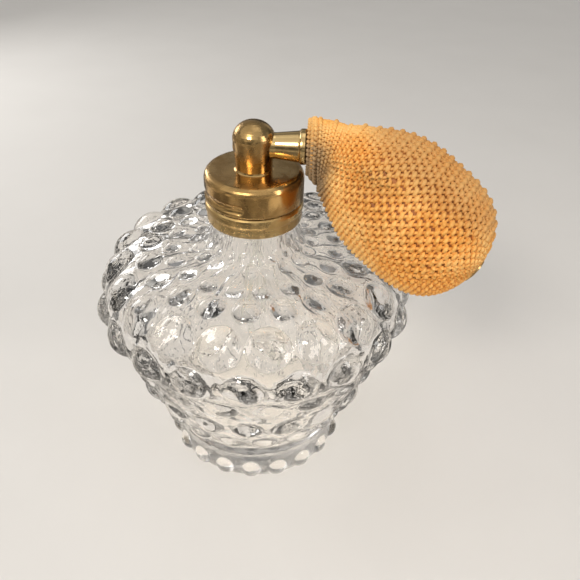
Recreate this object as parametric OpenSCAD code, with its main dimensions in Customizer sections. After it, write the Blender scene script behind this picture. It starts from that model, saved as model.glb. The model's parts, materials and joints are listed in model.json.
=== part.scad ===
// Squeeze-bulb perfume atomiser: hobnail glass bottle, brass screw cap and head,
// net-covered rubber bulb. Units are millimetres. The table is z = 0, the bottle's
// axis is Z, and the arm that carries the bulb points along +X.

/* [Bottle] */
// Hobs in each row
hobs = 20; // [12:1:28]
// Turn of the even hob rows about the axis, degrees
hob_phase = 1.56; // [0:0.01:18]
// Radius of the neck's outside, inside the collar
neck_r = 9.5; // [8:0.1:10.5]
// Radius of the neck's bore
bore_r = 6.4; // [5:0.1:8]
// Height of the glass lip above the table
lip_z = 80.5; // [70:0.1:95]

/* [Collar and cap] */
// Height of the cap's flat top above the table
cap_top = 82.2; // [72:0.1:97]
// Outer radius of the cap and of the collar's shoulder
cap_r = 11.5; // [10:0.1:14]
// Height of the cap's skirt
cap_h = 7.1; // [5:0.1:10]
// Wall thickness of the cap
cap_wall = 0.76; // [0.5:0.01:1.5]
// Running clearance between the cap and the collar's sleeve
thread_gap = 0.09; // [0.02:0.01:0.1]
// Depth of the rolled grip recesses
grip_depth = 0.4; // [0.1:0.05:0.45]

/* [Head] */
// Radius of the post at the foot of its dome
post_r = 4.8; // [3.5:0.1:6]
// Height of the post's dome
dome_h = 4.1; // [2:0.1:5]
// Height of the post above the cap
post_h = 11.3; // [9:0.1:15]
// Height of the side tube's axis above the cap
arm_up = 5.7; // [5:0.1:8]
// Outer radius of the side tube
arm_r = 2.65; // [2:0.05:3.5]
// Radius of the ferrule's cone where it enters the post
cone_r = 2.9; // [2.75:0.05:3.5]
// Distance from the axis to the far face of the ferrule
ferrule_x = 11.9; // [10:0.1:14]
// Radius of the ferrule's flange
ferrule_r = 3.95; // [3:0.05:5]

/* [Siphon] */
// Outer radius of the siphon tube
siphon_r = 1.5; // [1.2:0.05:2]
// Height of the siphon tube's foot above the table
siphon_foot = 13.5; // [12.5:0.1:30]

/* [Bulb] */
// Distance from the axis to the bend behind the bulb's neck
bend_x = 18.4; // [16:0.1:22]
// Angle of the bulb below the arm, degrees
droop = 30.0; // [0:0.1:40]
// Sideways angle of the bulb from the arm, degrees
swing = 26.0; // [0:0.1:35]
// Length of the bulb from the bend to its end
bulb_len = 40.7; // [35:0.1:55]
// Largest radius of the bulb over its net
bulb_r = 15.0; // [12:0.1:18]
// Radius over the net where the bulb starts to swell
bulb_r0 = 6.2; // [5:0.1:9]
// Where along the bulb it is widest, as a share of its length
bulb_widest = 0.47; // [0.4:0.01:0.7]
// Thickness of the net
net_t = 0.95; // [0.5:0.05:1.5]
// Thickness of the rubber
rubber_t = 1.4; // [1:0.1:2.5]

/* [Hidden] */
$fn = 96;
brass = [0.80, 0.62, 0.30];
steel = [0.72, 0.72, 0.74];
clear = [0.88, 0.94, 0.95, 0.4];
arm_z = cap_top + arm_up;
cap_in = cap_r - cap_wall;
sleeve_r = cap_in - thread_gap;
skirt_z = cap_top - cap_h;
plate_t = 0.8;
plate_z = cap_top - plate_t;
neck_x = ferrule_x + 0.1;
net_x = neck_x + 1.5;
tail_r = 2.6;
tail_z = plate_z - 2.8;
arm_bore = 1.9;
slip = 0.01;
// Where the neck's node is divided from the bottle's, and the row of hobs it crosses
finish_r = 12.5;
finish_z = 58;
finish_row = 8;

// One entry for each row of hobs, from the foot up:
// wall radius, height, tilt of the outward normal, hob radius, hob height.
hob_rows = [
  [23.30, 3.7, 0, 2.75, 1.3],
  [27.30, 19.9, -21, 3.5, 1.4],
  [30.70, 28.3, -19, 3.85, 1.5],
  [33.90, 38.6, -21, 3.9, 1.5],
  [37.70, 48.2, -1, 4.75, 1.9],
  [33.95, 57.4, 41, 4.9, 1.95],
  [25.60, 60.8, 65, 3.25, 1.3],
  [20.00, 61.9, 78, 2.4, 0.95],
  [13.90, 62.9, 75, 2.0, 0.8],
  [11.45, 64.6, 48, 1.3, 0.5],
];

// Outer and inner wall of the bottle as [radius, height], foot to neck.
outer_wall = [
  [0, 0], [21.4, 0], [22.3, 0.5], [23.0, 1.7], [23.3, 3.4], [23.2, 5.2], [22.9, 7.4],
  [22.95, 9.6], [23.7, 12.6], [25.2, 16.0], [27.3, 19.9], [30.7, 28.3], [33.9, 38.6],
  [36.3, 43.6], [37.4, 46.4], [37.75, 49.0], [37.35, 51.8], [36.1, 54.7], [33.95, 57.4],
  [31.1, 59.3], [28.4, 60.2], [25.6, 60.8], [20.0, 61.9], [16.5, 62.4], [13.9, 62.95],
  [12.5, 63.7], [11.3, 64.9], [10.4, 66.6], [9.75, 68.6], [neck_r, 70.2],
];
inner_wall = [
  [0, 11.0], [13.0, 11.0], [17.4, 12.3], [20.3, 15.3], [23.3, 21.0], [26.6, 29.2],
  [29.8, 39.4], [32.5, 45.4], [33.5, 48.6], [33.2, 51.5], [31.8, 54.0], [29.3, 55.8],
  [25.0, 57.0], [19.5, 57.9], [13.0, 58.7], [9.6, 60.2], [7.7, 62.4], [6.8, 65.0],
  [bore_r, 68.0],
];

// Lays a child drawn along +Z onto the arm's axis, from the bottle's axis outwards.
module on_arm() {
  translate([0, 0, arm_z]) rotate([0, 90, 0]) children();
}

// Lays a child drawn along +Z onto the bulb's axis, from the bend outwards.
module on_bulb() {
  translate([bend_x, 0, arm_z]) rotate([0, 0, -swing]) rotate([0, 90 + droop, 0]) children();
}

// A straight tube along +Z from z0 to z1.
module pipe(outer, inner, z0, z1) {
  translate([0, 0, z0]) difference() {
    cylinder(r = outer, h = z1 - z0);
    translate([0, 0, -1]) cylinder(r = inner, h = z1 - z0 + 2);
  }
}

// A hob is the cap of a sphere that stands hob_h proud of the wall over radius hob_a.
module hob(row) {
  hob_a = row[3];
  hob_h = row[4];
  ball = (hob_a * hob_a + hob_h * hob_h) / (2 * hob_h);
  inset = ball - hob_h;
  translate([row[0] - inset * cos(row[2]), 0, row[1] - inset * sin(row[2])])
    sphere(r = ball);
}

// The whole bottle, with the hobs of the given rows.
module glass(rows) {
  lip = [
    [neck_r, lip_z - 1.6], [neck_r - 0.2, lip_z - 0.7], [neck_r - 0.7, lip_z - 0.15],
    [neck_r - 1.3, lip_z], [bore_r + 1.0, lip_z], [bore_r + 0.3, lip_z - 0.3],
    [bore_r, lip_z - 0.9],
  ];
  difference() {
    union() {
      rotate_extrude() polygon(concat(outer_wall, lip, [[bore_r, 60], [0, 60]]));
      for (i = rows)
        for (k = [0 : hobs - 1])
          rotate([0, 0, hob_phase + (k + (i % 2) / 2) * 360 / hobs]) hob(hob_rows[i]);
    }
    rotate_extrude() polygon(concat(inner_wall, [[bore_r, lip_z + 5], [0, lip_z + 5]]));
  }
}

// The space that holds the bottle's neck and the root of its shoulder.
module finish_space() {
  translate([0, 0, finish_z]) cylinder(r = finish_r, h = lip_z);
}

// The bottle below its neck. The row that the joint crosses is drawn in both nodes.
module glass_bottle() {
  color(clear) difference() {
    glass([0 : finish_row]);
    finish_space();
  }
}

// The neck that the collar is cemented to, of one glass with the bottle.
module glass_neck() {
  color(clear) intersection() {
    glass([finish_row : len(hob_rows) - 1]);
    finish_space();
  }
}

// Lower brass ring with the sleeve that the cap screws onto.
module neck_collar() {
  low = skirt_z - 5;
  color(brass) rotate_extrude() polygon([
    [neck_r + 0.4, low + 0.4], [neck_r + 0.7, low], [cap_r - 0.45, low], [cap_r - 0.3, low + 0.2],
    [cap_r - 0.3, low + 2.2], [cap_r - 0.12, low + 2.5], [cap_r, low + 3.0], [cap_r, low + 3.9],
    [cap_r - 0.15, low + 4.4], [cap_r - 0.5, low + 4.75], [cap_r - 0.9, low + 4.8],
    [sleeve_r, low + 4.8], [sleeve_r, lip_z - 0.9], [sleeve_r - 0.25, lip_z - 0.5],
    [neck_r + 0.4, lip_z - 0.5],
  ]);
}

module collar_cement() {
  color([0.82, 0.80, 0.74])
    pipe(neck_r + 0.38, neck_r + 0.02, skirt_z - 4.4, lip_z - 1.7);
}

// Domed-edge cap: a flat top, a skirt, and two rolled recesses for the fingers.
module screw_cap() {
  edge = 1.7;
  turned = edge - cap_wall;
  corner = [for (a = [0 : 15 : 90]) [
    cap_r - edge + edge * cos(a), cap_top - edge + edge * sin(a)]];
  under = [for (a = [90 : -15 : 0]) [
    cap_in - turned + turned * cos(a), plate_z - turned + turned * sin(a)]];
  grip_z = cap_top - 4.8;
  grip_ball = 2.0;
  grip_r = cap_r - grip_depth + grip_ball;
  color(brass) difference() {
    rotate_extrude() polygon(concat(
      [[cap_in, skirt_z], [cap_r - 0.4, skirt_z], [cap_r - 0.1, skirt_z + 0.25],
       [cap_r, skirt_z + 0.6]],
      corner, [[tail_r + slip, cap_top], [tail_r + slip, plate_z]], under));
    for (start = [20, 149]) rotate([0, 0, start]) {
      rotate_extrude(angle = 110) translate([grip_r, grip_z]) circle(r = grip_ball);
      for (end = [0, 110])
        rotate([0, 0, end]) translate([grip_r, 0, grip_z]) sphere(r = grip_ball + 0.02);
    }
  }
}

module cap_gasket() {
  color([0.45, 0.32, 0.20]) pipe(9.7, 5.1, lip_z + 0.08, plate_z - 0.05);
}

// Post with a domed top and a tail that passes through the cap.
module head_post() {
  top = cap_top + post_h;
  foot = post_r - 0.6;
  dome = [for (a = [0 : 7.5 : 90]) [post_r * cos(a), top - dome_h * (1 - sin(a))]];
  color(brass) difference() {
    rotate_extrude() polygon(concat([
      [0, tail_z], [tail_r, tail_z], [tail_r, cap_top], [foot + 0.35, cap_top],
      [foot + 0.1, cap_top + 0.2], [foot, cap_top + 0.5], [foot + 0.06, cap_top + 2.2],
      [post_r - 0.18, cap_top + 5.6],
    ], dome));
    on_arm() translate([0, 0, 2.4]) cylinder(r = arm_r + slip, h = 10);
    on_arm() translate([0, 0, 3.65]) cylinder(r = cone_r + slip, h = 10);
    on_arm() translate([0, 0, -3]) cylinder(r = 0.9, h = 6);
    on_arm() translate([0, 0, -12.7]) cylinder(r = 1.9, h = 10);
    translate([0, 0, tail_z - 1]) cylinder(r = 1.6, h = arm_z - tail_z + 1);
  }
}

// Hexagonal nut that clamps the post to the cap from below.
module post_nut() {
  color(brass) difference() {
    translate([0, 0, plate_z - 1.9]) cylinder(r = 4.4, h = 1.85, $fn = 6);
    translate([0, 0, plate_z - 3]) cylinder(r = tail_r + slip, h = 4);
  }
}

module siphon_stem() {
  color(brass) difference() {
    union() {
      translate([0, 0, tail_z - 0.4]) cylinder(r = 1.58, h = arm_z - tail_z - 0.7);
      translate([0, 0, tail_z - 6]) cylinder(r = siphon_r - 0.47, h = 6);
    }
    translate([0, 0, tail_z - 7]) cylinder(r = 0.6, h = 20);
  }
}

module siphon_tube() {
  color([0.92, 0.92, 0.88, 0.5])
    pipe(siphon_r, siphon_r - 0.45, siphon_foot, tail_z - 0.5);
}

// Side tube: the bulb's rubber neck is pushed over its outer end.
module air_tube() {
  color(brass) on_arm() difference() {
    rotate_extrude() polygon([
      [0, 2.45], [arm_r, 2.45], [arm_r, neck_x + 3.6], [arm_r - 0.3, neck_x + 4.5],
      [0, neck_x + 4.5],
    ]);
    cylinder(r = arm_bore, h = 30);
  }
}

// Conical ferrule, let into the post, with the flange that the bulb's neck butts against.
module bulb_ferrule() {
  bore = arm_r + slip;
  color(brass) on_arm() rotate_extrude() polygon([
    [bore, 3.7], [cone_r, 3.7], [cone_r, 4.9], [ferrule_r - 0.5, 9.9],
    [ferrule_r - 0.35, 10.2], [ferrule_r - 0.08, 10.4], [ferrule_r, 10.75],
    [ferrule_r, ferrule_x - 0.5], [ferrule_r - 0.1, ferrule_x - 0.15],
    [ferrule_r - 0.4, ferrule_x], [bore, ferrule_x],
  ]);
}

// Spray tip, set in the post on the side away from the bulb.
module nozzle_tip() {
  color(brass) on_arm() difference() {
    rotate_extrude() polygon([
      [0, -4.7], [1.0, -4.65], [1.5, -4.5], [1.88, -4.1], [1.88, -2.75], [0, -2.75],
    ]);
    translate([0, 0, -6]) cylinder(r = 0.3, h = 5);
    translate([0, 0, -3.6]) cylinder(r1 = 0.3, r2 = 0.9, h = 0.9);
  }
}

module air_jet() {
  color(brass) on_arm() pipe(0.88, 0.45, 0.9, 2.3);
}

module outlet_seat() {
  color(steel) on_arm() pipe(arm_bore - slip, 0.9, neck_x + 1.1, neck_x + 2.0);
}

module outlet_disc() {
  color([0.15, 0.15, 0.15]) on_arm()
    translate([0, 0, neck_x + 0.3]) cylinder(r = 1.55, h = 0.75);
}

module outlet_stop() {
  color(steel) on_arm() pipe(arm_bore - slip, 0.9, neck_x - 1.6, neck_x - 0.9);
}

// Radius of the bulb's outside at share t of its length.
function swell(t) = t < bulb_widest
  ? bulb_r - (bulb_r - bulb_r0) * pow((bulb_widest - t) / bulb_widest, 2)
  : bulb_r * sqrt(1 - pow((t - bulb_widest) / (1 - bulb_widest), 4));

// The bulb's swollen part, inset evenly from its outside, as [radius, distance].
function bulb_half(inset) = [
  for (t = [0, 0.06, 0.12, 0.18, 0.25, 0.33, 0.41, 0.49, 0.58, 0.66, 0.73, 0.79, 0.84, 0.88,
            0.92, 0.95, 0.97, 0.985, 0.995, 1])
    [t < 1 ? max(swell(t) * (bulb_r - inset) / bulb_r, 0.5) : 0, t * (bulb_len - inset)]];

// Bulb with its neck, inset evenly from the net's outside and starting at x0.
module bulb_solid(inset, x0) {
  neck = bulb_r0 + 0.5 - inset;
  on_bulb() rotate_extrude() polygon(concat([[0, 0]], bulb_half(inset)));
  translate([bend_x, 0, arm_z]) sphere(r = neck);
  on_arm() rotate_extrude() polygon([
    [0, x0], [neck - 0.6, x0], [neck - 0.15, x0 + 0.25], [neck, x0 + 0.8], [neck, bend_x],
    [0, bend_x],
  ]);
}

module bulb_bladder() {
  skin = net_t + 0.05;
  inside = skin + rubber_t;
  color([0.20, 0.12, 0.07]) difference() {
    bulb_solid(skin, neck_x);
    on_bulb() rotate_extrude() polygon(concat([[0, 1]], [
      for (p = bulb_half(inside)) if (p[1] > 1) p]));
    on_arm() cylinder(r = arm_r + slip, h = bend_x + 2);
    on_bulb() translate([0, 0, bulb_len - 8]) cylinder(r = 2.5, h = 12);
  }
}

module bulb_net() {
  color([0.86, 0.58, 0.24]) difference() {
    bulb_solid(0, net_x);
    bulb_solid(net_t, net_x - 4);
    on_bulb() translate([0, 0, bulb_len - 4]) cylinder(r = 3.4, h = 8);
  }
}

// Thread that draws the net in around the rubber neck.
module net_tie() {
  thread_r = 0.4;
  ring_r = bulb_r0 + 0.5 - net_t - 0.05 + thread_r;
  color([0.70, 0.58, 0.40]) on_arm() translate([0, 0, neck_x + 0.98])
    rotate_extrude() translate([ring_r, 0]) circle(r = thread_r);
}

// Inlet valve in the bulb's far end: body, stop and disc share the bulb's axis.
module inlet_body() {
  far = bulb_len - 0.05;
  color(brass) on_bulb() difference() {
    rotate_extrude() polygon([
      [0, far - 6.5], [2.0, far - 6.5], [2.2, far - 6.2], [2.2, far - 0.72], [2.7, far - 0.72],
      [3.0, far - 0.5], [2.9, far - 0.15], [2.4, far], [0, far],
    ]);
    translate([0, 0, far - 7]) cylinder(r = 1.55, h = 4.8);
    translate([0, 0, far - 3]) cylinder(r = 0.7, h = 4);
  }
}

module inlet_stop() {
  color(steel) on_bulb()
    pipe(1.54, 0.7, bulb_len - 6.45, bulb_len - 5.6);
}

module inlet_disc() {
  color([0.15, 0.15, 0.15]) on_bulb()
    translate([0, 0, bulb_len - 3.1]) cylinder(r = 1.2, h = 0.8);
}

glass_bottle();
glass_neck();
neck_collar();
collar_cement();
screw_cap();
cap_gasket();
head_post();
post_nut();
siphon_stem();
siphon_tube();
air_tube();
bulb_ferrule();
nozzle_tip();
air_jet();
outlet_seat();
outlet_disc();
outlet_stop();
bulb_bladder();
bulb_net();
net_tie();
inlet_body();
inlet_stop();
inlet_disc();
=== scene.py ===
"""Looks for the squeeze-bulb perfume atomiser: hobnail glass, brass head, netted bulb."""

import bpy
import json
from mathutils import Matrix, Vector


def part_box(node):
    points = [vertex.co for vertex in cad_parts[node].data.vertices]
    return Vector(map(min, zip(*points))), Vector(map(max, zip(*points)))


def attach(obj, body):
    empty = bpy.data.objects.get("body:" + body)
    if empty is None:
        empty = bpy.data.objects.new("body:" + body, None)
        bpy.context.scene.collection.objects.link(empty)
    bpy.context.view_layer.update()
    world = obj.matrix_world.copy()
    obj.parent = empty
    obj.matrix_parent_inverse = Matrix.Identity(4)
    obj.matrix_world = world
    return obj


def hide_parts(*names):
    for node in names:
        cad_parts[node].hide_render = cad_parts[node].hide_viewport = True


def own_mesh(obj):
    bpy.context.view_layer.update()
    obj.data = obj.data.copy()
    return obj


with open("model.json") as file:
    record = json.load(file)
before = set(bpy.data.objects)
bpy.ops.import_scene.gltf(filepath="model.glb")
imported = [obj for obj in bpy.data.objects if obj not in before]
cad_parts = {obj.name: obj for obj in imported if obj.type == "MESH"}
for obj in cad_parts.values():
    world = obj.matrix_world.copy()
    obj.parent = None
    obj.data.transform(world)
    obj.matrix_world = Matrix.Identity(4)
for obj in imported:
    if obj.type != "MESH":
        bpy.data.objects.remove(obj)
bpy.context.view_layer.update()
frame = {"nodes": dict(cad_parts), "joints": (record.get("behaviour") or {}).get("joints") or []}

import json
import math

import bpy
import numpy as np
from mathutils import Matrix, Vector

MM = 0.001
TAU = 2 * math.pi

# ---------------------------------------------------------------- places from the frame


def node_box(name):
    """A node's lowest and highest corners at rest, in millimetres."""
    low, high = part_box(name)
    return np.array(low) / MM, np.array(high) / MM


def node_middle(name):
    low, high = node_box(name)
    return (low + high) / 2


CAP_TOP = node_box("screw_cap")[1][2]
ARM_Z = node_middle("air_tube")[2]
FERRULE_X = node_box("bulb_ferrule")[1][0]
SQUEEZE = next(j for j in frame["joints"] if j["name"] == "bulb_squeeze")
BULB_AXIS = -np.array(SQUEEZE["axis"], float)
BULB_AXIS /= np.linalg.norm(BULB_AXIS)
# From the inlet disc's centre to the far end of the bulb's outline
DISC_TO_END = 2.7
DISC_CENTRE = node_middle("inlet_disc")
# The bulb's axis, followed back from the disc, meets the arm's axis at the bend.
BEND_TO_DISC = DISC_CENTRE[1] / BULB_AXIS[1]
BEND = DISC_CENTRE - BULB_AXIS * BEND_TO_DISC
BULB_LEN = BEND_TO_DISC + DISC_TO_END
# Marks on the net: the middle of its long fold, where painted shade darkens it, and the worn side
# of its neck
FOLD = (26.0, -16.5, 88.5)
WORN = (FERRULE_X + 0.6, -5.6, ARM_Z - 4.4)

# ---------------------------------------------------------------- camera

# Its distance and direction from the cap's centre, then how it is turned, and its lens
CAMERA_DISTANCE = 150.4
CAMERA_AROUND = math.radians(6.0)
CAMERA_ABOVE = math.radians(26.73)
CAMERA_YAW = math.radians(-2.18)
CAMERA_PITCH = math.radians(37.31)
CAMERA_ROLL = math.radians(1.68)
CAMERA_LENS = 40.4


def make_camera():
    """The camera above the cap's height, a little to one side, looking down at the bottle."""
    data = bpy.data.cameras.new("camera")
    data.lens = CAMERA_LENS
    data.sensor_width = 36.0
    data.clip_start = 0.005
    camera = bpy.data.objects.new("camera", data)
    bpy.context.scene.collection.objects.link(camera)
    level = CAMERA_DISTANCE * math.cos(CAMERA_ABOVE)
    place = Vector((
        level * math.sin(CAMERA_AROUND),
        -level * math.cos(CAMERA_AROUND),
        CAP_TOP + CAMERA_DISTANCE * math.sin(CAMERA_ABOVE),
    ))
    ahead = Vector((
        math.sin(CAMERA_YAW) * math.cos(CAMERA_PITCH),
        math.cos(CAMERA_YAW) * math.cos(CAMERA_PITCH),
        -math.sin(CAMERA_PITCH),
    ))
    right = ahead.cross(Vector((0, 0, 1))).normalized()
    up = right.cross(ahead)
    turned_right = right * math.cos(CAMERA_ROLL) + up * math.sin(CAMERA_ROLL)
    turned_up = up * math.cos(CAMERA_ROLL) - right * math.sin(CAMERA_ROLL)
    basis = Matrix((turned_right, turned_up, -ahead)).transposed()
    camera.matrix_world = Matrix.Translation(place * MM) @ basis.to_4x4()
    bpy.context.scene.camera = camera


make_camera()

# ---------------------------------------------------------------- material helpers


def new_material(name):
    material = bpy.data.materials.new(name)
    material.use_nodes = True
    tree = material.node_tree
    shader = tree.nodes["Principled BSDF"]
    return material, tree, shader


def add(tree, kind, inputs=None, **settings):
    node = tree.nodes.new("ShaderNode" + kind)
    for key, value in settings.items():
        setattr(node, key, value)
    for key, value in (inputs or {}).items():
        if isinstance(value, bpy.types.NodeSocket):
            tree.links.new(value, node.inputs[key])
        else:
            node.inputs[key].default_value = value
    return node


def noise(tree, scale, detail=3.0, rough=0.5, at=None):
    coords = at or add(tree, "TexCoord").outputs["Object"]
    node = add(tree, "TexNoise", {"Vector": coords, "Scale": scale, "Detail": detail,
                                  "Roughness": rough})
    return node.outputs["Fac"]


def spread(tree, value, low, high, to_low=0.0, to_high=1.0):
    """Maps a value from one span to another, clamped and smooth."""
    node = add(tree, "MapRange", {"Value": value, "From Min": low, "From Max": high,
                                  "To Min": to_low, "To Max": to_high},
               interpolation_type="SMOOTHSTEP")
    return node.outputs["Result"]


def blend_colours(tree, share, dark, light):
    node = add(tree, "Mix", data_type="RGBA")
    tree.links.new(share, node.inputs["Factor"])
    for socket, value in ((node.inputs[6], dark), (node.inputs[7], light)):
        if isinstance(value, bpy.types.NodeSocket):
            tree.links.new(value, socket)
        else:
            socket.default_value = (*value, 1.0)
    return node.outputs[2]


def bump(tree, shader, height, strength, distance, under=None):
    node = add(tree, "Bump", {"Height": height, "Strength": strength, "Distance": distance})
    if under is not None:
        tree.links.new(under, node.inputs["Normal"])
    tree.links.new(node.outputs["Normal"], shader.inputs["Normal"])
    return node.outputs["Normal"]


def turned_coords(tree, along, centre):
    """Coordinates for fine lathe lines: far apart round the axis, close along it."""
    place = add(tree, "TexCoord").outputs["Object"]
    parts = add(tree, "SeparateXYZ", {"Vector": place})
    axes = {"x": ("Y", "Z", "X"), "z": ("X", "Y", "Z")}[along]
    offsets = {"X": 0.0, "Y": 0.0, "Z": centre}
    squares = []
    for letter in axes[:2]:
        moved = add(tree, "Math", {0: parts.outputs[letter], 1: offsets[letter]},
                    operation="SUBTRACT")
        square = add(tree, "Math", {0: moved.outputs[0], 1: 2.0}, operation="POWER")
        squares.append(square.outputs[0])
    total = add(tree, "Math", {0: squares[0], 1: squares[1]}, operation="ADD")
    radius = add(tree, "Math", {0: total.outputs[0]}, operation="SQRT")
    return add(tree, "CombineXYZ", {0: parts.outputs[axes[2]], 1: radius.outputs[0],
                                    2: 0.0}).outputs[0]


def brass(name, along="z", centre=0.0, polish=0.2, tarnish=0.5, tone=(0.51, 0.35, 0.155)):
    """Old polished brass: clouds of tarnish, fine turned lines and small scratches."""
    material, tree, shader = new_material(name)
    dark = tuple(c * k for c, k in zip(tone, (0.42, 0.34, 0.24)))
    clouds = spread(tree, noise(tree, 160.0, 6.0, 0.62), 0.38, 0.72)
    specks = spread(tree, noise(tree, 1500.0, 3.0, 0.6), 0.60, 0.74)
    warm = blend_colours(tree, spread(tree, noise(tree, 60.0, 2.0), 0.3, 0.7),
                         tone, (tone[0] * 1.05, tone[1] * 0.94, tone[2] * 0.80))
    share = add(tree, "Math", {0: clouds, 1: tarnish}, operation="MULTIPLY").outputs[0]
    body = blend_colours(tree, share, warm, dark)
    spotted = add(tree, "Math", {0: specks, 1: 0.5 * tarnish}, operation="MULTIPLY").outputs[0]
    tree.links.new(blend_colours(tree, spotted, body, dark), shader.inputs["Base Color"])
    shader.inputs["Metallic"].default_value = 1.0
    lines = noise(tree, 5200.0, 2.0, 0.6, turned_coords(tree, along, centre))
    scuffs = add(tree, "Math", {0: spread(tree, lines, 0.35, 0.7, 0.0, 0.10), 1: share},
                 operation="ADD").outputs[0]
    tree.links.new(spread(tree, scuffs, 0.0, 0.7, polish, polish + 0.30),
                   shader.inputs["Roughness"])
    fine = bump(tree, shader, lines, 0.25, 0.00002)
    bump(tree, shader, noise(tree, 700.0, 4.0), 0.12, 0.00010, fine)
    return material


def clear_glass(name):
    """Pressed glass: nearly colourless, with the soft ripple of a hand-fed mould."""
    material, tree, shader = new_material(name)
    tint = blend_colours(tree, noise(tree, 45.0, 2.0), (0.982, 0.962, 0.938),
                         (0.965, 0.948, 0.925))
    tree.links.new(tint, shader.inputs["Base Color"])
    shader.inputs["Transmission Weight"].default_value = 1.0
    shader.inputs["IOR"].default_value = 1.5
    dust = spread(tree, noise(tree, 420.0, 5.0, 0.6), 0.48, 0.80, 0.01, 0.14)
    tree.links.new(dust, shader.inputs["Roughness"])
    slow = bump(tree, shader, noise(tree, 240.0, 2.0), 0.45, 0.0005)
    bump(tree, shader, noise(tree, 800.0, 2.0), 0.22, 0.00018, slow)
    through = add(tree, "BsdfTransparent", {"Color": (0.90, 0.90, 0.89, 1.0)})
    choice = add(tree, "MixShader")
    tree.links.new(add(tree, "LightPath").outputs["Is Shadow Ray"], choice.inputs[0])
    tree.links.new(shader.outputs[0], choice.inputs[1])
    tree.links.new(through.outputs[0], choice.inputs[2])
    tree.links.new(choice.outputs[0], tree.nodes["Material Output"].inputs["Surface"])
    return material


def near(tree, point, reach_low, reach_high, stretch=(1.0, 1.0, 1.0)):
    """1 close to a point in millimetres, falling to 0, with a ragged edge."""
    place = add(tree, "TexCoord").outputs["Object"]
    away = add(tree, "VectorMath", {0: place, 1: tuple(np.array(point) * MM)},
               operation="SUBTRACT").outputs["Vector"]
    scaled = add(tree, "VectorMath", {0: away, 1: stretch}, operation="MULTIPLY")
    length = add(tree, "VectorMath", {0: scaled.outputs["Vector"]}, operation="LENGTH")
    wander = 6.0 * MM
    ragged = add(tree, "Math", {0: noise(tree, 350.0, 4.0, 0.65), 1: wander, 2: -wander / 2},
                 operation="MULTIPLY_ADD").outputs[0]
    reach = add(tree, "Math", {0: length.outputs["Value"], 1: ragged}, operation="ADD")
    return spread(tree, reach.outputs[0], reach_low * MM, reach_high * MM, 1.0, 0.0)


def above_axis(tree, low, high):
    """0 near the bulb's axis and below it, 1 well above it, in millimetres."""
    slope = BULB_AXIS[2] / BULB_AXIS[0]
    base = (BEND[2] - slope * BEND[0]) * MM
    parts = add(tree, "SeparateXYZ", {"Vector": add(tree, "TexCoord").outputs["Object"]})
    axis_z = add(tree, "Math", {0: parts.outputs["X"], 1: slope, 2: base},
                 operation="MULTIPLY_ADD")
    rise = add(tree, "Math", {0: parts.outputs["Z"], 1: axis_z.outputs[0]},
               operation="SUBTRACT")
    return spread(tree, rise.outputs[0], low * MM, high * MM)


def knit(name):
    """Gold cotton: uneven dye, painted shade with some wear along the long fold, painted shade on
    the top, and grey wear at the neck's lower side.
    """
    material, tree, shader = new_material(name)
    strand = blend_colours(tree, spread(tree, noise(tree, 1100.0, 3.0), 0.32, 0.68),
                           (0.78, 0.33, 0.048), (0.98, 0.50, 0.115))
    uneven = blend_colours(tree, spread(tree, noise(tree, 110.0, 3.0), 0.35, 0.70),
                           strand, (0.97, 0.58, 0.19))
    # Painted shade, with some wear: the net is darkened along its long fold.
    fold = add(tree, "Math", {0: near(tree, FOLD, 1, 9), 1: 0.55}, operation="MULTIPLY")
    fold_shaded = blend_colours(tree, fold.outputs[0], uneven, (0.62, 0.28, 0.055))
    # Painted shade: the bulb's upper side is darkened, so that it looks less brightly lit from
    # above.
    top = add(tree, "Math", {0: above_axis(tree, 7, 14), 1: 0.75}, operation="MULTIPLY")
    top_shaded = blend_colours(tree, top.outputs[0], fold_shaded, (0.56, 0.27, 0.075))
    soil = near(tree, WORN, 2.6, 8.4, (1.15, 0.62, 0.62))
    tree.links.new(blend_colours(tree, soil, top_shaded, (0.31, 0.20, 0.10)),
                   shader.inputs["Base Color"])
    fibres = noise(tree, 4200.0, 3.0, 0.65)
    tree.links.new(spread(tree, fibres, 0.3, 0.7, 0.45, 0.72), shader.inputs["Roughness"])
    shader.inputs["Sheen Weight"].default_value = 0.15
    shader.inputs["Sheen Tint"].default_value = (1.0, 0.72, 0.40, 1.0)
    shader.inputs["Sheen Roughness"].default_value = 0.4
    bump(tree, shader, fibres, 0.35, 0.00006)
    return material


def thread(name, pale, deep):
    """Waxed sewing thread."""
    material, tree, shader = new_material(name)
    tree.links.new(blend_colours(tree, noise(tree, 2600.0, 3.0), deep, pale),
                   shader.inputs["Base Color"])
    tree.links.new(spread(tree, noise(tree, 900.0), 0.3, 0.7, 0.5, 0.75),
                   shader.inputs["Roughness"])
    bump(tree, shader, noise(tree, 3800.0, 3.0), 0.4, 0.00006)
    return material


def rubber(name, tone, rough=0.6, shadow_at=None):
    """Aged rubber with a faint bloom; where a point is given, a painted shadow darkens it near
    that point.
    """
    material, tree, shader = new_material(name)
    bloom = spread(tree, noise(tree, 300.0, 5.0, 0.6), 0.42, 0.75)
    pale = tuple(min(1.0, c * 1.7 + 0.03) for c in tone)
    body = blend_colours(tree, bloom, tone, pale)
    if shadow_at is not None:
        # Painted shadow: near-black darkening round the given point.
        body = blend_colours(tree, near(tree, shadow_at, 5.5, 8.0), body, (0.05, 0.03, 0.02))
    tree.links.new(body, shader.inputs["Base Color"])
    tree.links.new(spread(tree, bloom, 0.0, 1.0, rough, rough + 0.2), shader.inputs["Roughness"])
    bump(tree, shader, noise(tree, 1600.0, 4.0), 0.25, 0.00008)
    return material


def plaster(name):
    """Neck cement: chalky, with pits."""
    material, tree, shader = new_material(name)
    grain = noise(tree, 900.0, 6.0, 0.7)
    tree.links.new(blend_colours(tree, grain, (0.50, 0.47, 0.40), (0.74, 0.72, 0.66)),
                   shader.inputs["Base Color"])
    tree.links.new(spread(tree, grain, 0.3, 0.7, 0.75, 0.95), shader.inputs["Roughness"])
    bump(tree, shader, grain, 0.4, 0.0001)
    return material


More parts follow.
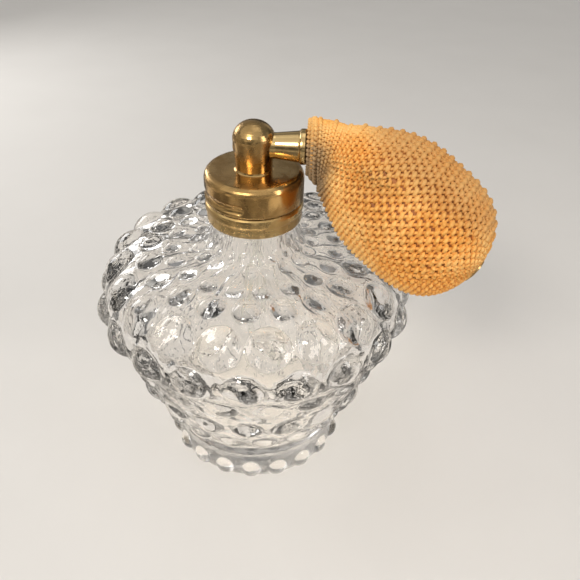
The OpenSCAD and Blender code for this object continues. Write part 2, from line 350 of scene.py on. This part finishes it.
def clear_plastic(name):
    """Siphon tube: clear, slightly clouded plastic."""
    material, tree, shader = new_material(name)
    cloud = noise(tree, 300.0, 3.0)
    tree.links.new(blend_colours(tree, cloud, (0.93, 0.93, 0.90), (0.98, 0.98, 0.97)),
                   shader.inputs["Base Color"])
    tree.links.new(spread(tree, cloud, 0.3, 0.7, 0.05, 0.16), shader.inputs["Roughness"])
    shader.inputs["Transmission Weight"].default_value = 0.95
    shader.inputs["IOR"].default_value = 1.42
    return material


def put(piece, material):
    """Gives every slot of an object one material."""
    if not piece.data.materials:
        piece.data.materials.append(material)
    for slot in piece.material_slots:
        slot.material = material


# ---------------------------------------------------------------- mesh helpers


def link_mesh(name, points, faces, smooth=True):
    """A mesh object from points in millimetres."""
    mesh = bpy.data.meshes.new(name)
    mesh.from_pydata((np.asarray(points) * MM).tolist(), [], faces)
    mesh.validate()
    mesh.polygons.foreach_set("use_smooth", [smooth] * len(mesh.polygons))
    mesh.update()
    piece = bpy.data.objects.new(name, mesh)
    bpy.context.scene.collection.objects.link(piece)
    return piece


def grid_faces(rows, columns, first=0):
    """Quads of a grid whose rows are closed rings."""
    i = np.arange(rows - 1)[:, None]
    k = np.arange(columns)[None, :]
    after = (k + 1) % columns
    corners = [i * columns + k, i * columns + after, (i + 1) * columns + after,
               (i + 1) * columns + k]
    quads = np.stack(np.broadcast_arrays(*corners), -1).reshape(-1, 4) + first
    return quads.tolist()


def lathe(name, profile, steps, lift=None):
    """Turns a profile of (radius, height) round Z, from pole to pole where its ends are at 0."""
    profile = np.asarray(profile, float)
    body = profile[1:-1]
    angle = np.arange(steps) * TAU / steps
    radius = np.repeat(body[:, :1], steps, 1)
    height = np.repeat(body[:, 1:], steps, 1)
    if lift is not None:
        radius, height = lift(radius, height, angle[None, :])
    ring = np.stack([radius * np.cos(angle), radius * np.sin(angle), height], -1)
    points = ring.reshape(-1, 3)
    count = len(points)
    poles = [[0, 0, profile[0, 1]], [0, 0, profile[-1, 1]]]
    faces = grid_faces(len(body), steps)
    faces += [[count, (k + 1) % steps, k] for k in range(steps)]
    last = count - steps
    faces += [[count + 1, last + k, last + (k + 1) % steps] for k in range(steps)]
    return link_mesh(name, np.vstack([points, poles]), faces)


def curve_through(points, spacing):
    """A smooth open curve through 2-D points, at about even spacing."""
    points = np.asarray(points, float)
    padded = np.vstack([2 * points[0] - points[1], points, 2 * points[-1] - points[-2]])
    out = []
    for i in range(1, len(padded) - 2):
        a, b, c, d = padded[i - 1:i + 3]
        steps = max(1, int(round(np.linalg.norm(c - b) / spacing)))
        for step in range(steps):
            t = step / steps
            out.append(0.5 * (2 * b + (c - a) * t + (2 * a - 5 * b + 4 * c - d) * t * t
                              + (3 * b - a - 3 * c + d) * t ** 3))
    out.append(points[-1])
    return np.array(out)


# ---------------------------------------------------------------- glass bottle

HOBS = 20
HOB_PHASE = math.radians(1.56)
HOB_STEPS = 28
# Each row from the foot up: wall radius, height on the wall, hob radius, hob height
HOB_ROWS = [
    (23.30, 3.7, 2.75, 1.3),
    (27.30, 19.9, 3.5, 1.4),
    (30.70, 28.3, 3.85, 1.5),
    (33.90, 38.6, 3.9, 1.5),
    (37.70, 48.2, 4.75, 1.9),
    (33.95, 57.4, 4.9, 1.95),
    (25.60, 60.8, 3.25, 1.5),
    (20.00, 61.9, 2.4, 1.15),
    (13.90, 62.9, 2.0, 1.0),
    (11.45, 64.6, 1.3, 0.5),
]
# How softly a hob runs into the wall, and how much the hobs' sizes vary
HOB_BLEND = 0.10
HOB_UNEVEN = 0.025
# What the blend adds to the plain wall between hobs, taken off again
HOB_SINK = 0.02
# Radii of the neck outside and inside, and the height of the floor inside
NECK_OUTER = 9.5
NECK_BORE = 6.4
INSIDE_FLOOR = 11.0
# Heights between which the neck is straight, outside upwards and inside downwards
NECK_RISE = (71.2, 78.4)
BORE_FALL = (78.6, 69.0)
NECK_RINGS = 8
# Profiles as (radius, height)
UNDERSIDE = [(0, 1.1), (6, 1.08), (12, 0.95), (17, 0.6), (19.4, 0.18), (20.4, 0)]
OUTER_WALL = [
    (21.4, 0), (22.3, 0.5), (23.0, 1.7), (23.3, 3.4), (23.2, 5.2), (22.9, 7.4),
    (22.95, 9.6), (23.7, 12.6), (25.2, 16.0), (27.3, 19.9), (30.7, 28.3), (33.9, 38.6),
    (36.3, 43.6), (37.4, 46.4), (37.75, 49.0), (37.35, 51.8), (36.1, 54.7), (33.95, 57.4),
    (31.1, 59.3), (28.4, 60.2), (25.6, 60.8), (20.0, 61.9), (16.5, 62.4), (13.9, 62.95),
    (12.5, 63.7), (11.3, 64.9), (10.4, 66.6), (9.75, 68.6), (9.5, 70.4),
]
LIP = [(9.5, 78.9), (9.3, 79.8), (8.8, 80.35), (8.2, 80.5), (7.4, 80.5), (6.7, 80.2),
       (6.4, 79.6)]
INNER_WALL = [
    (6.4, 68.0), (6.8, 65.0), (7.7, 62.4), (9.6, 60.2), (13.0, 58.7), (19.5, 57.9),
    (25.0, 57.0), (29.3, 55.8), (31.8, 54.0), (33.2, 51.5), (33.5, 48.6), (32.5, 45.4),
    (29.8, 39.4), (26.6, 29.2), (23.3, 21.0), (20.3, 15.3), (17.4, 12.3), (13.0, 11.0),
]
# Waves of the inner wall: depth, waves round the bottle, radians per millimetre of height
INNER_WAVES = [(0.16, 9, 0.35), (0.12, 17, -0.6), (0.10, 5, 0.9), (0.07, 31, 1.3)]


def hob_lift(radius, height, angle):
    """How far the glass stands out at points on the wall, in millimetres."""
    lift = np.zeros(np.broadcast(radius, angle).shape)
    pitch = TAU / HOBS
    rng = np.random.default_rng(7)
    for index, (wall_r, wall_z, hob_a, hob_h) in enumerate(HOB_ROWS):
        size = 1 + rng.normal(0, HOB_UNEVEN, HOBS)
        turn = angle - HOB_PHASE - (index % 2) * pitch / 2
        nearest = np.round(turn / pitch)
        aside = turn - nearest * pitch
        scale = size[np.mod(nearest.astype(int), HOBS)]
        gap_sq = (radius ** 2 + wall_r ** 2 - 2 * radius * wall_r * np.cos(aside)
                  + (height - wall_z) ** 2)
        high = hob_h * scale
        ball = (hob_a ** 2 + high ** 2) / (2 * high)
        cap = np.sqrt(np.maximum(ball ** 2 - gap_sq, 0.0)) - (ball - high)
        lift = np.maximum(lift, 0.5 * (cap + np.sqrt(cap ** 2 + HOB_BLEND ** 2)) - HOB_SINK)
    return lift


def make_glass():
    """The whole bottle in one mesh: hobs outside, a waved wall inside, a hollow under the base."""
    outside = curve_through(OUTER_WALL, 0.42)
    lip = curve_through(LIP, 0.5)
    inside = curve_through(INNER_WALL, 0.55)
    straight = np.column_stack([np.full(NECK_RINGS, NECK_OUTER),
                                np.linspace(*NECK_RISE, NECK_RINGS)])
    bore = np.column_stack([np.full(NECK_RINGS, NECK_BORE), np.linspace(*BORE_FALL, NECK_RINGS)])
    floor = [(12.2, INSIDE_FLOOR), (6.0, INSIDE_FLOOR), (0, INSIDE_FLOOR)]
    profile = np.vstack([UNDERSIDE, outside, straight, lip, bore, inside, floor])
    first_hob = len(UNDERSIDE)
    past_hobs = first_hob + len(outside)
    along = np.gradient(profile, axis=0)
    along /= np.linalg.norm(along, axis=1, keepdims=True) + 1e-9
    out_r, out_z = along[:, 1], -along[:, 0]
    inner_first = len(profile) - len(inside) - len(floor)

    def lift(radius, height, angle):
        rows = np.arange(1, len(profile) - 1)
        stand = np.zeros_like(radius)
        on_wall = (rows >= first_hob) & (rows < past_hobs)
        stand[on_wall] = hob_lift(radius[on_wall], height[on_wall], angle)
        on_inside = rows >= inner_first
        wave_r = radius[on_inside]
        wave_z = height[on_inside]
        waves = sum(depth * np.sin(around * angle + rise * wave_z)
                    for depth, around, rise in INNER_WAVES)
        fine_bend = 1.5 * np.sin(1.1 * wave_z) + 2 * np.sin(5 * angle)
        waves = waves + 0.055 * np.sin(61 * angle + fine_bend)
        ring_bend = 1.6 * np.sin(23 * angle) + 0.12 * wave_r
        waves = waves + 0.050 * np.sin(2.3 * wave_z + ring_bend)
        stand[on_inside] = np.clip((wave_r - 5.0) / 6.0, 0, 1) * waves
        return radius + stand * out_r[rows][:, None], height + stand * out_z[rows][:, None]

    glass = lathe("hobnail_glass", profile, HOBS * HOB_STEPS, lift)
    put(glass, clear_glass("clear_pressed_glass"))
    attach(glass, "bottle")
    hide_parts("glass_bottle", "glass_neck")


# ---------------------------------------------------------------- bulb

# Where the rubber and the net begin, along the arm
NECK_START = FERRULE_X + 0.1
NET_START = NECK_START + 0.35
TIE_X = node_middle("net_tie")[0]
# Radii over the net: the widest, at the bend and on the neck
BULB_R = 15.0
BULB_R0 = 6.2
NECK_R = BULB_R0 + 0.5
# Share of the bulb's length at which it is widest
WIDEST = 0.47
# How far the skins that carry the net and the rubber lie under the bulb's outline
NET_INSET = 0.80
RUBBER_INSET = 1.0
# Thickness of the rubber, and its mesh's steps round the bulb
RUBBER = 1.4
RUBBER_STEPS = 96
# Stitches in a round, the angle of one, the gap between rounds, and how unevenly both fall
STITCHES = 40
STITCH_ANGLE = TAU / STITCHES
ROUND_GAP = 1.2
UNEVEN = 0.05
# A loop of the net: points along it, its length in stitches, and its slant across the round
LOOP_POINTS = 7
LOOP_LENGTH = 0.88
LOOP_SLANT = 0.34
# Points along a crossing, and points of a ridge to each stitch
CROSSING_POINTS = 4
RIDGE_POINTS = 4
# Radii at which the net and the rubber stop round the inlet valve
VALVE_R = 3.9
VALVE_BORE = 2.5
# Samples along the neck's outline
NECK_SAMPLES = 40
# How far the neck's mouth turns in, and over what length
MOUTH_DROP = 0.7
MOUTH_REACH = 1.1
# Height of the hem over the tie, and half its width
HEM = 0.55
HEM_REACH = 0.9
# The long fold: its depth and half width, its angle from the top, and its turn for each mm
FOLD_DEPTH = 0.9
FOLD_WIDTH = 2.0
FOLD_ANGLE = math.radians(75)
FOLD_TURN = math.radians(1.35)
# The loose net's sag under the neck: its depth, and its turn away from straight down
SAG_DEPTH = 1.9
SAG_ANGLE = 0.35
# The spine turns over this distance each side of the bend; the net and the rubber are split into
# two pieces where it ends past the bend.
BEND_REACH = 4.0


def swell(t):
    """Radius over the net at share t of the bulb's length."""
    before = np.clip((WIDEST - t) / WIDEST, 0, 1)
    past = np.clip((t - WIDEST) / (1 - WIDEST), 0, 1)
    growing = BULB_R - (BULB_R - BULB_R0) * before ** 2
    closing = BULB_R * np.sqrt(np.maximum(1 - past ** 4, 0))
    return np.where(t < WIDEST, growing, closing)


def spine(s):
    """Centre and direction of the bulb at distance s from its bend; the neck is at s < 0."""
    s = np.asarray(s, float)
    arm = np.array([1.0, 0.0, 0.0])
    t = np.clip((s + BEND_REACH) / (2 * BEND_REACH), 0, 1)[..., None]
    start = BEND - arm * BEND_REACH
    end = BEND + BULB_AXIS * BEND_REACH
    bent = (1 - t) ** 2 * start + 2 * t * (1 - t) * BEND + t ** 2 * end
    before = np.minimum(s + BEND_REACH, 0)[..., None] * arm
    after = np.maximum(s - BEND_REACH, 0)[..., None] * BULB_AXIS
    ahead = (1 - t) * arm + t * BULB_AXIS
    ahead /= np.linalg.norm(ahead, axis=-1, keepdims=True)
    return bent + before + after, ahead


def ramp(value, low, high):
    """0 below one value, 1 above another, smooth between."""
    t = np.clip((value - low) / (high - low), 0, 1)
    return t * t * (3 - 2 * t)


def crease(s, angle, radius):
    """Depth of the long fold pressed into the bulb, from its neck to its middle."""
    centre = FOLD_ANGLE - FOLD_TURN * (s - 4)
    across = (angle - centre + math.pi) % TAU - math.pi
    along = ramp(s, 1, 7) * (1 - ramp(s, 17, 25))
    return FOLD_DEPTH * along * np.exp(-(across * radius / FOLD_WIDTH) ** 2)


def bulb_profile(inset, first, hem):
    """(distance along the spine, radius) pairs from the neck's mouth to the far end.

    The hem is how far the net swells where it is turned over its tie.
    """
    # The samples crowd together towards the far end, where the outline closes.
    crowded = 1 - 0.1 * np.linspace(1, 0, 26)[1:] ** 2
    share = np.concatenate([np.linspace(0, 0.9, 60), crowded])
    neck = np.linspace(first - BEND[0], -0.3, NECK_SAMPLES)
    neck_radius = np.full(NECK_SAMPLES, NECK_R - inset)
    profile = np.column_stack([np.concatenate([neck, share * (BULB_LEN - inset)]),
                               np.concatenate([neck_radius, swell(share) - inset])])
    least = np.where(profile[:, 0] < 3, NECK_R - inset, 0.0)
    profile[:, 1] = np.maximum(profile[:, 1], least)
    mouth = np.clip((profile[:, 0] - profile[0, 0]) / MOUTH_REACH, 0, 1)
    profile[:, 1] -= MOUTH_DROP * (1 - np.sqrt(1 - (1 - mouth) ** 2))
    from_tie = profile[:, 0] + BEND[0] - TIE_X
    profile[:, 1] += hem * np.exp(-(from_tie / HEM_REACH) ** 2)
    return profile


def sag(s, angle):
    """How far the loose net hangs below the neck, in millimetres."""
    start = NET_START - BEND[0]
    along = ramp(s, start, start + 1.6) * (1 - ramp(s, 1, 9))
    return SAG_DEPTH * along * ramp(0.5 - 0.5 * np.cos(angle - SAG_ANGLE), 0.45, 0.95)


class BulbSkin:
    """Points on the bulb from the length along its outline, the angle and the height over it."""

    def __init__(self, inset, first, hem=0.0):
        self.loose = hem > 0
        self.profile = bulb_profile(inset, first, hem)
        steps = np.linalg.norm(np.diff(self.profile, axis=0), axis=1)
        self.arc = np.concatenate([[0], np.cumsum(steps)])
        self.length = self.arc[-1]

    def radius(self, w):
        return np.interp(w, self.arc, self.profile[:, 1])

    def station(self, w):
        return np.interp(w, self.arc, self.profile[:, 0])

    def at_station(self, s):
        return np.interp(s, self.profile[:, 0], self.arc)

    def at_end_radius(self, radius):
        """Length along the outline at which the far end has closed to a radius."""
        far = self.arc > 0.6 * self.length
        return np.interp(-radius, -self.profile[far, 1], self.arc[far])

    def point(self, w, angle, over=0.0):
        """Points in space; the angle is 0 on top of the bulb, and over is the height in mm."""
        w, angle, over = np.broadcast_arrays(w, angle, over)
        small = 0.15
        s = self.station(w)
        r = self.radius(w)
        over = over - crease(s, angle, r)
        if self.loose:
            over = over + sag(s, angle)
        ds = self.station(w + small) - self.station(w - small)
        dr = self.radius(w + small) - self.radius(w - small)
        size = np.hypot(ds, dr) + 1e-9
        centre, ahead = spine(s)
        side = np.cross(ahead, np.array([0.0, 0.0, 1.0]))
        side /= np.linalg.norm(side, axis=-1, keepdims=True)
        top = np.cross(side, ahead)
        outward = np.cos(angle)[..., None] * top + np.sin(angle)[..., None] * side
        reach = (r + over * ds / size)[..., None]
        return centre + outward * reach - ahead * (over * dr / size)[..., None]


def tubes(paths, radii, sides, closed):
    """Thread geometry: paths is (count, steps, 3), radii (count, steps)."""
    count, steps, _ = paths.shape
    if closed:
        ahead = np.roll(paths, -1, 1) - np.roll(paths, 1, 1)
    else:
        ahead = np.gradient(paths, axis=1)
    ahead /= np.linalg.norm(ahead, axis=-1, keepdims=True) + 1e-12
    guide = np.array([0.31, 0.17, 0.94])
    one = np.cross(ahead, guide)
    one /= np.linalg.norm(one, axis=-1, keepdims=True)
    two = np.cross(ahead, one)
    angle = np.arange(sides) * TAU / sides
    ring = np.cos(angle)[:, None] * one[..., None, :] + np.sin(angle)[:, None] * two[..., None, :]
    points = (paths[..., None, :] + ring * radii[..., None, None]).reshape(-1, 3)
    last = steps if closed else steps - 1
    base = np.arange(count)[:, None, None] * steps * sides
    i = np.arange(last)[None, :, None]
    k = np.arange(sides)[None, None, :]
    after = (i + 1) % steps
    corners = [base + i * sides + k, base + i * sides + (k + 1) % sides,
               base + after * sides + (k + 1) % sides, base + after * sides + k]
    faces = np.stack(np.broadcast_arrays(*corners), -1).reshape(-1, 4).tolist()
    if not closed:
        ends = np.arange(count)[:, None] * steps * sides
        ring_ids = np.arange(sides)[None, :]
        faces += (ends + ring_ids[:, ::-1]).tolist()
        faces += (ends + (steps - 1) * sides + ring_ids).tolist()
    return points, faces


def on_top(turn):
    """1 on the bulb's upper side, where the rounds show as ridges, and 0 elsewhere."""
    return ramp(0.5 + 0.5 * np.cos(turn + 0.4), 0.80, 0.95)


def thread_radius(skin, level, least, more):
    """Radius of a thread, which is pulled thinner where the bulb is narrow."""
    return least + more * np.minimum(1.0, skin.radius(level) / BULB_R)


def loop_paths(skin, level, angles, low):
    """The plump loops of one round, a little aslant; a low round sinks between its ridges."""
    share = np.linspace(0, 1, LOOP_POINTS)
    arch = np.sin(math.pi * share)
    turn = angles[:, None] + LOOP_LENGTH * STITCH_ANGLE * (share[None, :] - 0.5)
    w = level + LOOP_SLANT * (share[None, :] - 0.5)
    upper = on_top(turn)
    over = 0.02 + (0.40 - 0.20 * upper) * arch[None, :] - 0.28 * low * upper
    tapered = thread_radius(skin, level, 0.26, 0.30) * (0.42 + 0.58 * arch)
    return skin.point(w, turn, over), tapered * (1 + (0.35 - 0.25 * low) * upper)


def crossing_paths(skin, level, after, angles, lean):
    """The thin crossings under the loops, from one round to the next."""
    share = np.linspace(0, 1, CROSSING_POINTS)
    turn = angles[:, None] + lean * 0.5 * STITCH_ANGLE * share[None, :]
    paths = skin.point(level + (after - level) * share[None, :], turn)
    return paths, np.full(paths.shape[:2], thread_radius(skin, level, 0.20, 0.20))


def ridge_path(skin, level):
    """The cord of every other round, which stands proud on top of the bulb."""
    count = STITCHES * RIDGE_POINTS
    turn = np.arange(count) * TAU / count
    upper = on_top(turn)
    over = 0.05 + 0.26 * upper + 0.05 * np.cos(turn * STITCHES)
    w = level + 0.06 * np.sin(turn * STITCHES)
    return skin.point(w, turn, over)[None], (0.26 + 0.13 * upper)[None]


def net_parts(skin, levels, rounds, rng):
    """Threads of the given rounds, as (paths, radii, sides, closed) batches."""
    loops, crossings, ridges = [], [], []
    for i in rounds:
        shake = UNEVEN * rng.normal(size=STITCHES)
        angles = (np.arange(STITCHES) + 0.5 * (i % 2) + shake) * STITCH_ANGLE
        shifted = levels[i] + UNEVEN * rng.normal()
        loops.append(loop_paths(skin, shifted, angles, i % 2))
        if i + 1 < len(levels):
            for lean in (-1, 1):
                crossings.append(crossing_paths(skin, levels[i], levels[i + 1], angles, lean))
        if i % 2 == 0 and i > 1:
            ridges.append(ridge_path(skin, levels[i]))
    batches = []
    for group, sides, closed in ((loops, 7, False), (crossings, 5, False), (ridges, 5, True)):
        paths, radii = zip(*group)
        batches.append((np.vstack(paths), np.vstack(radii), sides, closed))
    return batches


def joined_tubes(batches):
    """Points and faces of several batches of threads, as one mesh."""
    points, faces, first = [], [], 0
    for batch in batches:
        batch_points, batch_faces = tubes(*batch)
        points.append(batch_points)
        faces += [[v + first for v in face] for face in batch_faces]
        first += len(batch_points)
    return np.vstack(points), faces


def make_net():
    """The knitted net in two pieces: the neck, and the rest of the bulb past the bend."""
    skin = BulbSkin(NET_INSET, NET_START, HEM)
    end = skin.at_end_radius(VALVE_R)
    levels = np.linspace(0.25, end, int(round(end / ROUND_GAP)) + 1)
    still = int(np.searchsorted(levels, skin.at_station(BEND_REACH)))
    rng = np.random.default_rng(11)
    cotton = knit("gold_cotton")
    pieces = []
    for name, rounds in (("net_neck", range(still)), ("net_bulb", range(still, len(levels)))):
        net = link_mesh(name, *joined_tubes(net_parts(skin, levels, rounds, rng)))
        put(net, cotton)
        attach(net, "head")
        pieces.append(net)
    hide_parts("bulb_net")
    shorten(pieces[1])


def wall_rings(outer, inner, outer_w, inner_w, steps):
    """A closed wall between two skins, from rings out along one and back along the other."""
    angle = np.arange(steps) * TAU / steps
    rings = np.concatenate([outer.point(outer_w[:, None], angle[None, :]),
                            inner.point(inner_w[::-1, None], angle[None, :])])
    rows = len(rings)
    faces = grid_faces(rows, steps)
    last = (rows - 1) * steps
    faces += [[last + k, last + (k + 1) % steps, (k + 1) % steps, k] for k in range(steps)]
    return rings.reshape(-1, 3), faces


def make_rubber():
    """The rubber bulb under the net, hollow, in two pieces: the neck, and the rest past the bend.
    """
    outer = BulbSkin(RUBBER_INSET, NECK_START)
    inner = BulbSkin(RUBBER_INSET + RUBBER, NECK_START)
    # The rubber's mouth at the ferrule gets a painted shadow where it runs under the brass and the
    # net.
    look = rubber("amber_rubber", (0.36, 0.13, 0.025), shadow_at=(NECK_START, 0.0, ARM_Z))
    split_out, split_in = outer.at_station(BEND_REACH), inner.at_station(BEND_REACH)
    end_out, end_in = outer.at_end_radius(VALVE_BORE), inner.at_end_radius(VALVE_BORE)
    spans = (("rubber_neck", (0, split_out), (0, split_in), 24),
             ("rubber_bulb", (split_out, end_out), (split_in, end_in), 70))
    for name, out_span, in_span, rows in spans:
        points, faces = wall_rings(outer, inner, np.linspace(*out_span, rows),
                                   np.linspace(*in_span, rows), RUBBER_STEPS)
        piece = link_mesh(name, points, faces)
        put(piece, look)
        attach(piece, "head")
    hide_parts("bulb_bladder")
    shorten(piece)


def shorten(piece):
    """Gives the piece its own copy of its mesh."""
    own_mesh(piece)


make_glass()
make_net()
make_rubber()

# ---------------------------------------------------------------- materials on the CAD pieces

CAD_LOOKS = {
    "neck_collar": brass("collar_brass", polish=0.17, tarnish=0.45, tone=(0.66, 0.48, 0.22)),
    "screw_cap": brass("cap_brass", polish=0.16, tarnish=0.70),
    "head_post": brass("post_brass", polish=0.16, tarnish=0.70),
    "air_tube": brass("tube_brass", "x", ARM_Z * MM, polish=0.22, tarnish=0.5),
    "bulb_ferrule": brass("ferrule_brass", "x", ARM_Z * MM, polish=0.15, tarnish=0.35,
                          tone=(0.68, 0.50, 0.24)),
    "nozzle_tip": brass("tip_brass", "x", ARM_Z * MM, polish=0.22, tarnish=0.3),
    "inlet_body": brass("valve_brass", polish=0.3, tarnish=0.5),
    "collar_cement": plaster("neck_cement"),
    "cap_gasket": rubber("gasket_rubber", (0.05, 0.035, 0.03)),
    "siphon_tube": clear_plastic("siphon_plastic"),
    "net_tie": thread("tie_thread", (0.92, 0.50, 0.15), (0.66, 0.30, 0.06)),
    "outlet_disc": rubber("disc_rubber", (0.03, 0.03, 0.03)),
    "inlet_disc": rubber("flap_rubber", (0.03, 0.03, 0.03)),
}
INNER_BRASS = brass("inner_brass", polish=0.3, tarnish=0.4)
for name in ("post_nut", "siphon_stem", "air_jet", "outlet_seat", "outlet_stop", "inlet_stop"):
    CAD_LOOKS[name] = INNER_BRASS
for name, look in CAD_LOOKS.items():
    put(frame["nodes"][name], look)

# ---------------------------------------------------------------- floor, lights and world


def make_floor():
    """A plain pale floor, which mirrors darker and lighter patches into brass and glass."""
    material, tree, shader = new_material("pale_floor")
    grain = noise(tree, 25.0, 4.0)
    pale = blend_colours(tree, grain, (0.69, 0.66, 0.62), (0.74, 0.71, 0.67))
    ray = add(tree, "LightPath").outputs
    mirrored = add(tree, "Math", {0: ray["Is Glossy Ray"], 1: ray["Is Transmission Ray"]},
                   operation="SUBTRACT", use_clamp=True)
    patches = blend_colours(tree, spread(tree, noise(tree, 11.0, 1.0), 0.44, 0.58),
                            (0.12, 0.11, 0.10), (0.93, 0.88, 0.80))
    tree.links.new(blend_colours(tree, mirrored.outputs[0], pale, patches),
                   shader.inputs["Base Color"])
    shader.inputs["Roughness"].default_value = 0.7
    half = 1500.0
    corners = [[-half, -half, 0], [half, -half, 0], [half, half, 0], [-half, half, 0]]
    floor = link_mesh("floor", corners, [[0, 1, 2, 3]], False)
    put(floor, material)


def add_light(name, place, target, size, power, colour=(1, 1, 1)):
    """A rectangular lamp aimed at a point: places and size in millimetres, power in watts."""
    data = bpy.data.lights.new(name, "AREA")
    data.shape = "RECTANGLE"
    data.size, data.size_y = size[0] * MM, size[1] * MM
    data.energy = power
    data.color = colour
    lamp = bpy.data.objects.new(name, data)
    bpy.context.scene.collection.objects.link(lamp)
    lamp.location = Vector(place) * MM
    aim = (Vector(target) - Vector(place)).normalized()
    lamp.rotation_euler = aim.to_track_quat("-Z", "Y").to_euler()


def add_daylight():
    """A very wide, even light, so that the floor doesn't darken away from the lamps."""
    data = bpy.data.lights.new("daylight", "SUN")
    data.energy = 1.0
    data.angle = math.radians(100)
    lamp = bpy.data.objects.new("daylight", data)
    bpy.context.scene.collection.objects.link(lamp)
    lamp.rotation_euler = Vector((0.25, 0.35, -1.0)).to_track_quat("-Z", "Y").to_euler()


def make_world():
    """Uneven grey walls and a grey ceiling for reflections; the camera sees a plain backdrop."""
    world = bpy.data.worlds.new("studio")
    bpy.context.scene.world = world
    world.use_nodes = True
    tree = world.node_tree
    around = add(tree, "TexCoord").outputs["Generated"]
    height = add(tree, "SeparateXYZ", {"Vector": around}).outputs["Z"]
    walls = spread(tree, noise(tree, 2.2, 1.0, 0.4, around), 0.40, 0.62)
    grey = blend_colours(tree, walls, (0.07, 0.07, 0.07), (0.68, 0.66, 0.62))
    room = blend_colours(tree, spread(tree, height, 0.15, 0.75), grey, (0.30, 0.30, 0.30))
    seen = add(tree, "LightPath").outputs["Is Camera Ray"]
    background = tree.nodes["Background"]
    tree.links.new(blend_colours(tree, seen, room, (0.80, 0.80, 0.79)),
                   background.inputs["Color"])
    background.inputs["Strength"].default_value = 0.8


make_floor()
make_world()
bpy.context.scene.view_settings.view_transform = "Standard"
middle = (5, 0, 50)
add_light("key", (-130, -300, 360), middle, (120, 90), 0.85, (1.0, 0.96, 0.91))
add_light("fill", (330, -170, 230), middle, (90, 220), 0.40, (1.0, 0.97, 0.94))
add_light("top", (60, 70, 540), middle, (260, 220), 0.12)
add_light("back", (-300, 270, 180), middle, (200, 140), 0.40)
add_daylight()
